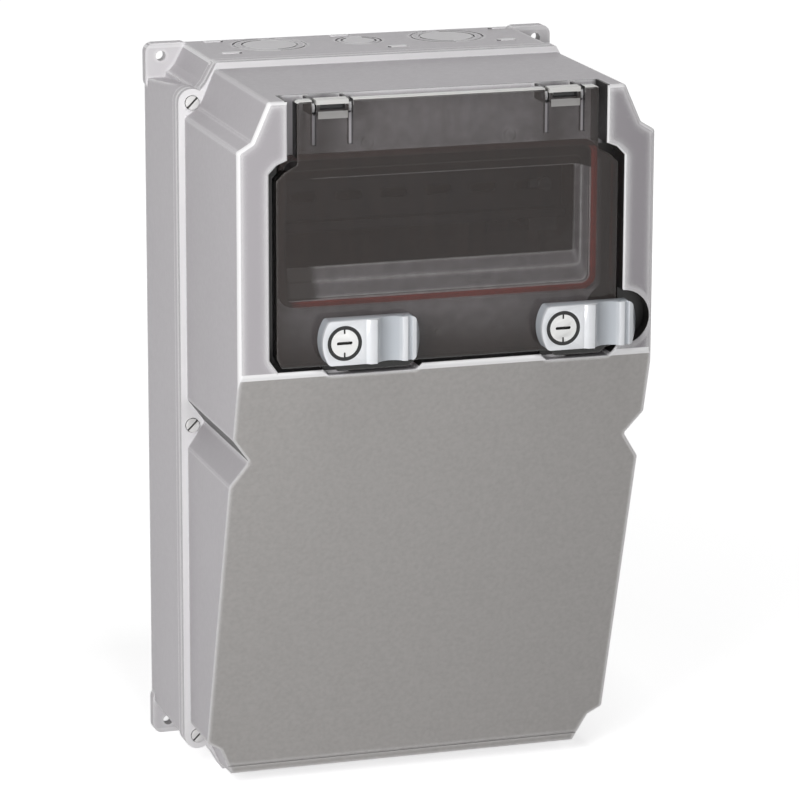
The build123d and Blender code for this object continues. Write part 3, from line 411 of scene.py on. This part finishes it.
FRONT_DEPTHS, RIB_DEPTHS, SKIRT_DEPTHS = (0.1805, 0.1830), (0.1814, 0.1830), (0.160, 0.1814)
SLOT_REACH, SLOT_HEIGHTS = 0.0120, (0.1590, 0.1880)
KNUCKLE_REACH, KNUCKLE_HEIGHTS, KNUCKLE_DEPTHS = 0.0086, (0.1888, 0.1925), (0.1740, 0.1830)
TOP_HEIGHTS, TOP_DEPTHS = (0.1885, 0.1950), (0.1760, 0.1830)
CORE_HALF, CORE_HEIGHTS = 0.0865, (0.0555, 0.1620)
SLIT_DEPTHS = (0.1783, 0.1790)
FOOT_HEIGHTS, FOOT_DEPTHS = (0.0480, 0.0545), (0.1600, 0.1820)


def smoked_acrylic(name, tint, cloudy_tint, edge_on_and_shade, gleam):
    """Partly transparent smoked plastic, dark where it is seen edge-on or painted with shade, and with
    painted highlights along its lit edges.
    """
    material, tree, surface, place = new_material(name)
    x, depth, z, forward, upward, true = levels(tree, place)
    wave, dust_and_shade = (
        add_node(tree, "TexNoise", {"Vector": place, "Scale": 1000 / size, "Detail": detail})
        for size, detail in ((WAVE_MM, 1.0), (DUST_MM, 5.0))
    )
    # Faint flow lines run up and down, so the noise is stretched ten times that way
    drawn = add_node(tree, "Mapping", {"Vector": place, "Scale": (1.0, 1.0, 0.1)})
    streaks = add_node(tree, "TexNoise", {"Vector": drawn, "Scale": 1000 / STREAK_MM, "Detail": 2.0})
    flow = add_node(tree, "MapRange", {"Value": streaks, 1: 0.35, 2: 0.65})

    # Painted highlights lie on the edges, though not those of the slots beside the hinges, and on the
    # ribs, the knuckles and the top edge
    aside = add_node(tree, "Math", {0: x}, operation="ABSOLUTE")
    hinge_off = add_node(tree, "Math", {0: aside, 1: HINGE_PLACE}, operation="SUBTRACT")
    front = zone(tree, (depth, *FRONT_DEPTHS), (forward, 0.05, 1.01))
    rounded = add_node(tree, "Bevel", {"Radius": WINDOW_EDGE_MM / 1000}, samples=4)
    alike = add_node(tree, "VectorMath", {0: rounded, 1: true}, output="Value", operation="DOT_PRODUCT")
    edge = add_node(tree, "MapRange", {"Value": alike, 1: LIT_STARTS, 2: LIT_FULL, 3: 0.0, 4: LIT_SHARE})
    lit_edge = add_node(tree, "Math", {0: edge, 1: front}, operation="MULTIPLY")
    by_slot = zone(tree, (hinge_off, -SLOT_REACH, SLOT_REACH), (z, *SLOT_HEIGHTS))
    lit_edge = add_node(tree, "Math", {0: lit_edge, 1: by_slot}, operation="SUBTRACT", use_clamp=True)
    ribs = zone(tree, (depth, *RIB_DEPTHS))
    soft_ribs = add_node(tree, "Math", {0: ribs, 1: RIB_SHARE}, operation="MULTIPLY")
    knuckle_top = zone(
        tree, (hinge_off, -KNUCKLE_REACH, KNUCKLE_REACH), (z, *KNUCKLE_HEIGHTS), (depth, *KNUCKLE_DEPTHS)
    )
    top_edge = zone(tree, (z, *TOP_HEIGHTS), (depth, *TOP_DEPTHS), (upward, 0.4, 1.01))
    bright = lit_edge
    for part in (soft_ribs, knuckle_top, top_edge):
        bright = add_node(tree, "Math", {0: bright, 1: part}, operation="MAXIMUM")

    # The outer skirt is dark because it is seen edge-on, and the slit in each hinge and the foot are
    # painted dark as painted shade. The rib that presses the seal isn't, so the core of the window is left
    # out.
    core = zone(tree, (x, -CORE_HALF, CORE_HALF), (z, *CORE_HEIGHTS))
    side = zone(tree, (forward, -0.5, 0.5), (depth, *SKIRT_DEPTHS))
    skirt = add_node(tree, "Math", {0: side, 1: core}, operation="GREATER_THAN")
    slit = zone(tree, (forward, 0.8, 1.01), (depth, *SLIT_DEPTHS))
    foot = zone(tree, (z, *FOOT_HEIGHTS), (depth, *FOOT_DEPTHS))
    dark = add_node(tree, "Math", {0: skirt, 1: slit}, operation="MAXIMUM")
    dark = add_node(tree, "Math", {0: dark, 1: foot}, operation="MAXIMUM")

    colour = add_node(
        tree, "Mix", {0: flow, MIX_A: linear(tint), MIX_B: linear(cloudy_tint)}, MIX_COLOUR, data_type="RGBA"
    )
    haze = add_node(
        tree, "MapRange", {"Value": dust_and_shade, 1: 0.35, 2: 0.75, 3: SMOKE_COVER[0], 4: SMOKE_COVER[1]}
    )
    cover = add_node(tree, "MapRange", {"Value": front, 3: INNER_COVER, 4: haze})
    for mask, layer in ((dark, linear(edge_on_and_shade)), (bright, linear(gleam))):
        colour = add_node(tree, "Mix", {0: mask, MIX_A: colour, MIX_B: layer}, MIX_COLOUR, data_type="RGBA")
        closed = add_node(tree, "Math", {0: mask, 1: EDGE_COVER}, operation="MULTIPLY")
        cover = add_node(tree, "Math", {0: cover, 1: closed}, operation="MAXIMUM")
    tree.links.new(colour, surface.inputs["Base Color"])
    tree.links.new(cover, surface.inputs["Alpha"])
    rough = add_node(
        tree, "MapRange", {"Value": dust_and_shade, 1: 0.35, 2: 0.75, 3: SMOKE_ROUGH[0], 4: SMOKE_ROUGH[1]}
    )
    tree.links.new(rough, surface.inputs["Roughness"])
    bump = add_node(tree, "Bump", {"Height": wave, "Strength": 0.1, "Distance": WAVE_RISE_MM / 1000})
    tree.links.new(bump, surface.inputs["Normal"])
    surface.inputs["IOR"].default_value = SMOKE_IOR
    return material


smoke = smoked_acrylic("smoked_acrylic", "261d1a", "2e2420", "141312", "dcdbd8")
dress(smoke, "window")

# %% [markdown]
# ## Pale latch plastic, seals and metals
#
# The latches are moulded in a pale polyamide with a bright gloss, almost silver in the light. The
# hollow for the thumb and the foot of each handle are painted a darker blue-grey as painted shade, and
# the slots of the inserts and screws are painted dark as painted shade. The seals are soft rubber: black
# round the latch inserts, and brown-red round the aperture. Inside are zinc-plated steel and turned
# brass, the rail's zinc is painted darker as painted shade deep in the box and is rougher, and the
# terminal feet are grey polyamide. Each finish starts from typical values for what it is.
#
# A finish can have other colours where the part is low, or at one side, and here these are painted
# shade. Such a mark names what is measured, where the colour is full, where it has gone, and the
# colour. The seal is painted dark along its top and left runs, as painted shade where the hood shades them.

# %% Plain finishes
LATCH_HOLLOW, LATCH_FACE, LATCH_BACK = 0.1885, 0.1908, (0.18, 0.182)
INSERT_SLOT, SCREW_SLOT = (0.1909, 0.1911), (0.0766, 0.0768)
SEAL_TOP, SEAL_LEFT = (0.1575, 0.1560), (-0.0800, -0.0740)


def plain_finish(
    name, first, second, grain_mm, roughness, ior=1.5, metallic=0.0, bump_mm=0.0, coat=0.0, marks=()
):
    """Two near colours in a noise of a real size, with an uneven gloss and colours for marked parts, here
    painted shade.
    """
    material, tree, surface, place = new_material(name)
    noise = add_node(tree, "TexNoise", {"Vector": place, "Scale": 1000 / grain_mm, "Detail": 3.0})
    colour = add_node(
        tree, "Mix", {0: noise, MIX_A: linear(first), MIX_B: linear(second)}, MIX_COLOUR, data_type="RGBA"
    )
    x, depth, z, *_ = levels(tree, place)
    measures = {"x": x, "depth": depth, "z": z}
    for measure, full, none, layer in marks:
        share = add_node(tree, "MapRange", {"Value": measures[measure], 1: full, 2: none, 3: 1.0, 4: 0.0})
        colour = add_node(
            tree, "Mix", {0: share, MIX_A: colour, MIX_B: linear(layer)}, MIX_COLOUR, data_type="RGBA"
        )
    tree.links.new(colour, surface.inputs["Base Color"])
    rough = add_node(tree, "MapRange", {"Value": noise, 3: roughness[0], 4: roughness[1]})
    tree.links.new(rough, surface.inputs["Roughness"])
    if bump_mm:
        bump = add_node(tree, "Bump", {"Height": noise, "Strength": 0.4, "Distance": bump_mm / 1000})
        tree.links.new(bump, surface.inputs["Normal"])
    surface.inputs["Metallic"].default_value = metallic
    surface.inputs["Coat Weight"].default_value = coat
    if not metallic:
        surface.inputs["IOR"].default_value = ior
    return material


# The marks are painted shade: the hollow and foot of each handle, the slots, and the seal's top and left runs
latch_plastic = plain_finish(
    "glossy_pale_polyamide", "eceef1", "e4e6ea", 6.0, (0.16, 0.26), 1.53, coat=0.4,
    marks=[("depth", LATCH_HOLLOW, LATCH_FACE, "b4b9bf"), ("depth", *LATCH_BACK, "8a8d93")],
)
insert_plastic = plain_finish(
    "white_polyamide", "f9f9f8", "f3f3f2", 4.0, (0.2, 0.3), 1.53,
    marks=[("depth", *INSERT_SLOT, "1e1d1c")],
)
screw_plastic = plain_finish(
    "satin_white_polyamide", "ecebea", "e2e1e0", 3.0, (0.3, 0.45), 1.53, bump_mm=0.05,
    marks=[("depth", *SCREW_SLOT, "3a3837")],
)
foot_plastic = plain_finish(
    "moulded_grey_polyamide", "b9bdbd", "adb1b1", 2.0, (0.4, 0.55), 1.53, bump_mm=0.05
)
black_rubber = plain_finish(
    "black_nitrile_rubber", "131314", "1c1c1d", 1.5, (0.55, 0.75), 1.52, bump_mm=0.05
)
red_rubber = plain_finish(
    "brown_red_silicone_rubber", "b5473d", "a03c34", 2.0, (0.45, 0.6), 1.43, bump_mm=0.05,
    marks=[("z", *SEAL_TOP, "3a2320"), ("x", *SEAL_LEFT, "2c1d1b")],
)
zinc = plain_finish("zinc_plated_steel", "7d8084", "6a6e72", 4.0, (0.4, 0.6), metallic=1.0, bump_mm=0.02)
# The rail's zinc is painted darker, as painted shade deep inside the box
shaded_zinc = plain_finish(
    "zinc_steel_painted_shade", "45474a", "3a3c3f", 5.0, (0.5, 0.7), metallic=1.0, bump_mm=0.02
)
brass = plain_finish("turned_brass", "c4a25c", "ac8a45", 3.0, (0.25, 0.4), metallic=1.0, bump_mm=0.02)

SIDES = ("left", "right")
dress(screw_plastic, "cover_screws")
dress(foot_plastic, *[f"terminal_foot_{side}" for side in SIDES])
dress(black_rubber, "cover_gasket", *[f"latch_seal_{side}" for side in SIDES])
dress(red_rubber, "window_gasket")
dress(shaded_zinc, "din_rail")
dress(zinc, "post_screws", "rail_screws", "earth_screws", "neutral_screws")
dress(zinc, *[f"{part}_{side}" for part in ("hinge_pin", "rail_bracket", "latch_cam") for side in SIDES])
dress(brass, "screw_inserts", "earth_bar", "neutral_bar")
dress(latch_plastic, *[f"latch_handle_{side}" for side in SIDES])
dress(insert_plastic, *[f"latch_spindle_{side}" for side in SIDES])

# %% [markdown]
# ## The latches
#
# The real handles are moulded with soft edges, and that is what makes them gleam. A CAD solid has
# sharp ones. So we take a copy of each handle's mesh, join its loose triangles into whole faces,
# and bevel every sharp edge, as one would by hand. The slotted inserts and the cover screws get
# the same, with smaller edges. The copy stands for the CAD node.

# %% Soften the handles, inserts and cover screws
GRIP_ROUND, SMALL_ROUND = 0.0006, 0.0004
MERGE_GAP = 0.00002
FLAT_ANGLE, SHARP_ANGLE, SMOOTH_ANGLE = radians(1.0), radians(28.0), radians(30)


def select_only(obj):
    for other in bpy.context.selected_objects:
        other.select_set(False)
    obj.select_set(True)
    bpy.context.view_layer.objects.active = obj


def softened_copy(node, name, width, body, material, segments=2):
    """A copy of a CAD node with its sharp edges rounded, which replaces the node."""
    piece = bpy.data.objects.new(name, nodes[node].data.copy())
    bpy.context.scene.collection.objects.link(piece)
    select_only(piece)
    bpy.ops.mesh.customdata_custom_splitnormals_clear()
    bpy.ops.object.mode_set(mode="EDIT")
    bpy.ops.mesh.select_all(action="SELECT")
    bpy.ops.mesh.remove_doubles(threshold=MERGE_GAP)
    bpy.ops.mesh.dissolve_limited(angle_limit=FLAT_ANGLE)
    bpy.ops.object.mode_set(mode="OBJECT")
    bevel = piece.modifiers.new("soft_edges", "BEVEL")
    bevel.width = width
    bevel.segments = segments
    bevel.limit_method = "ANGLE"
    bevel.angle_limit = SHARP_ANGLE
    bevel.harden_normals = True
    bpy.ops.object.modifier_apply(modifier=bevel.name)
    bpy.ops.object.shade_smooth_by_angle(angle=SMOOTH_ANGLE)
    for material_slot in piece.material_slots:
        material_slot.material = material
    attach(piece, body)
    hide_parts(node)
    print(name, len(piece.data.polygons), "faces")
    return piece


for side in SIDES:
    latch = f"latch_{side}"
    softened_copy(
        f"latch_handle_{side}", f"latch_grip_{side}", GRIP_ROUND, latch, latch_plastic,
        segments=3,
    )
    softened_copy(
        f"latch_spindle_{side}", f"latch_insert_{side}", SMALL_ROUND, latch, insert_plastic
    )
softened_copy("cover_screws", "cover_screw_heads", SMALL_ROUND, "enclosure", screw_plastic)

# %% [markdown]
# ## Floor, background and light
#
# The box stands on a pale floor, with soft studio light from the upper left. The floor and the
# background are white to the camera, and also to reflections, so that the window shows the same
# white room. The floor still takes a soft shadow. The lamps stay at a plain level, at which a
# colour renders about as it is written.

# %% Floor and background
FLOOR_SIZE = 30.0
NEAR, FAR = 0.25, 1.2
NEAR_GLOW, FAR_GLOW = 0.72, 0.93
WORLD_LEVEL = 0.13


def white_room(tree):
    """1 for rays from the camera, and for reflected and refracted rays."""
    path = add_node(tree, "LightPath", output=None).outputs
    seen = path["Is Camera Ray"]
    for ray in ("Is Glossy Ray", "Is Transmission Ray"):
        seen = add_node(tree, "Math", {0: seen, 1: path[ray]}, operation="MAXIMUM")
    return seen


lowest = cad_box[0].z
bpy.ops.mesh.primitive_plane_add(size=FLOOR_SIZE, location=(0, 0, lowest))
floor = bpy.context.active_object
floor.name = "floor"
floor_material = bpy.data.materials.new("pale_floor")
floor_material.use_nodes = True
tree = floor_material.node_tree
tree.nodes.clear()
place = add_node(tree, "TexCoord", output="Object")
away = add_node(tree, "VectorMath", {0: place}, output="Value", operation="LENGTH")
shine = add_node(tree, "MapRange", {"Value": away, 1: NEAR, 2: FAR, 3: NEAR_GLOW, 4: FAR_GLOW})
strength = add_node(tree, "Math", {0: white_room(tree), 1: shine}, operation="MULTIPLY")
glow = add_node(tree, "Emission", {"Color": linear("ffffff"), "Strength": strength})
paint = add_node(tree, "BsdfDiffuse", {"Color": linear("e6e6e6")})
both = add_node(tree, "AddShader", {0: paint, 1: glow})
add_node(tree, "OutputMaterial", {"Surface": both}, output=None)
floor.data.materials.append(floor_material)

world = bpy.data.worlds.new("white_room")
world.use_nodes = True
tree = world.node_tree
tree.nodes.clear()
level = add_node(tree, "MapRange", {"Value": white_room(tree), 3: WORLD_LEVEL, 4: 1.0})
sky = add_node(tree, "Background", {"Color": linear("ffffff"), "Strength": level})
add_node(tree, "OutputWorld", {"Surface": sky}, output=None)
bpy.context.scene.world = world
print("floor at z", round(lowest, 4))

# %% Lamps
LAMP_TARGET = Vector((0, -0.08, -0.02))


def soft_lamp(name, azimuth, elevation, distance, size, watts):
    """A square studio lamp that faces the object. Azimuth 0 is the front, and left is negative."""
    a, e = radians(azimuth), radians(elevation)
    away = Vector((sin(a) * cos(e), -cos(a) * cos(e), sin(e)))
    data = bpy.data.lights.new(name, "AREA")
    data.shape = "SQUARE"
    data.size = size
    data.energy = watts
    lamp = bpy.data.objects.new(name, data)
    bpy.context.scene.collection.objects.link(lamp)
    lamp.location = LAMP_TARGET + away * distance
    lamp.rotation_mode = "QUATERNION"
    lamp.rotation_quaternion = (-away).to_track_quat("-Z", "Y")
    print(name, watts, "W")


soft_lamp("key_lamp", -42, 20, 1.1, 0.5, 6.8)
soft_lamp("top_lamp", 0, 66, 2.2, 0.5, 13)
